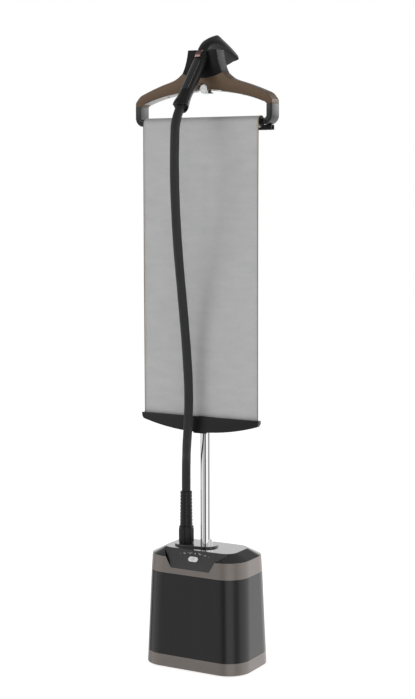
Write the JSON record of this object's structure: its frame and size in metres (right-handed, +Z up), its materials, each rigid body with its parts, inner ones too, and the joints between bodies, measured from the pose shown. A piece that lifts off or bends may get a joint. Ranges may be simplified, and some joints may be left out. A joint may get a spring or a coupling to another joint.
{
  "type": "upright garment steamer",
  "caption": "Floor-standing garment steamer with telescopic mast, hanger frame, roller press screen, steam hose and steam head.",
  "frame": {"origin": "floor level, on the axis of the mast, at the middle of the base", "axes": "+X to the right of someone facing the front, +Y to the rear, +Z up the mast"},
  "size_m": [0.427, 0.2936, 1.7575],
  "materials": {
    "charcoal_gloss": "satin gloss, injection moulded",
    "taupe_metallic": "satin metallic taupe",
    "deck_black": "high gloss",
    "panel_grey": "fine matt",
    "button_white": "gloss",
    "light_window": "satin",
    "black_plastic": "satin moulded",
    "chrome_tube": "polished",
    "hanger_brown": "fine matt, metallic brown",
    "liner_grey": "satin",
    "clear_pad": "frosted",
    "copper_trim": "metallised",
    "cast_alu": "cast",
    "alu_tube": "extruded",
    "sole_steel": "brushed",
    "soft_rubber": "matt",
    "hose_cover": "braided textile cover over a rubber hose",
    "screen_mesh": "woven mesh",
    "tank_smoke": "smoked translucent",
    "board_green": "solder resist",
    "pump_cream": "moulded",
    "zinc_steel": "zinc plated"
  },
  "bodies": {
    "root": {"bottom_tray": "taupe_metallic", "rubber_feet": "soft_rubber", "housing_screws": "zinc_steel", "body_shell": "charcoal_gloss", "tank_bay": "black_plastic", "tank_receiver": "black_plastic", "cord_inlet": "black_plastic", "shoulder_band": "taupe_metallic", "top_deck": "deck_black", "control_panel": "panel_grey", "indicator_lights": "light_window", "control_board": "board_green", "boiler": "cast_alu", "pump": "pump_cream", "feed_tube": "soft_rubber", "pressure_tube": "soft_rubber", "steam_pipe": "soft_rubber", "mast_socket": "black_plastic", "mast_boss": "deck_black", "lower_tube": "chrome_tube", "guide_bush": "black_plastic", "clamp_collar": "black_plastic", "lever_pin": "zinc_steel", "mast_clip": "black_plastic", "hose_connector": "black_plastic", "strain_relief": "black_plastic", "steam_hose": "hose_cover"},
    "power_button": {"power_button": "button_white"},
    "water_tank": {"tank_shell": "tank_smoke"},
    "tank_cap": {"tank_cap": "black_plastic"},
    "clamp_lever": {"clamp_lever": "black_plastic"},
    "upper_mast": {"upper_tube": "chrome_tube", "tube_slider": "black_plastic", "tee_bracket": "black_plastic", "cross_beam": "black_plastic", "end_arm_left": "black_plastic", "end_arm_right": "black_plastic", "hanger_bar": "hanger_brown", "hanger_liner": "liner_grey", "hook_pad": "clear_pad", "accessory_hook": "black_plastic", "cradle": "black_plastic", "cradle_screws": "zinc_steel", "screen_fabric": "screen_mesh"},
    "tee_latch": {"tee_latch": "black_plastic"},
    "roller": {"roller_tube": "alu_tube", "roller_plugs": "black_plastic", "screen_roll": "screen_mesh", "spring_shaft": "zinc_steel"},
    "screen_bar": {"bottom_bar": "black_plastic", "bar_tongue": "black_plastic"},
    "steam_head": {"head_shell": "black_plastic", "soleplate": "sole_steel", "handle_body": "black_plastic", "handle_inset": "deck_black", "handle_pipe": "soft_rubber", "head_cuff": "black_plastic"},
    "steam_trigger": {"steam_trigger": "copper_trim"}
  },
  "joints": [
    {"name": "mast_height", "type": "slide", "parent": "root", "child": "upper_mast", "axis": [0, 0, 1], "range_m": [-0.03, 0.07], "deforming": ["steam_hose"]},
    {"name": "clamp_lever_turn", "type": "hinge", "parent": "root", "child": "clamp_lever", "pos_m": [0, 0.03, 1.116], "axis": [1, 0, 0], "range_deg": [0, 110]},
    {"name": "screen_pull", "type": "slide", "parent": "upper_mast", "child": "screen_bar", "axis": [0, 0, 1], "range_m": [0, 0.78], "deforming": ["screen_fabric"]},
    {"name": "roller_spin", "type": "hinge", "parent": "upper_mast", "child": "roller", "pos_m": [0, -0.0181, 1.5145], "axis": [1, 0, 0], "range_deg": [-2820, 0]},
    {"name": "head_lift", "type": "slide", "parent": "upper_mast", "child": "steam_head", "axis": [0, 0.6494, 0.7604], "range_m": [0, 0.025]},
    {"name": "trigger_press", "type": "hinge", "parent": "steam_head", "child": "steam_trigger", "pos_m": [0, -0.02731, 1.70818], "axis": [1, 0, 0], "range_deg": [0, 6], "stiffness_Nm_per_rad": 0.6},
    {"name": "tee_latch_press", "type": "slide", "parent": "upper_mast", "child": "tee_latch", "axis": [0, 1, 0], "range_m": [0, 0.003], "stiffness_N_per_m": 300},
    {"name": "power_press", "type": "slide", "parent": "root", "child": "power_button", "axis": [0, 0.7833, -0.6217], "range_m": [0, 0.002], "stiffness_N_per_m": 400},
    {"name": "tank_slide", "type": "slide", "parent": "root", "child": "water_tank", "axis": [0, 1, 0], "range_m": [0, 0.14]},
    {"name": "cap_turn", "type": "hinge", "parent": "water_tank", "child": "tank_cap", "pos_m": [0, 0.062, 0.245], "axis": [0, 0, 1], "range_deg": [0, 90]}
  ],
  "couplings": [
    {"joint": "roller_spin", "follows": "screen_pull", "rad_per_m": -62.893}
  ]
}
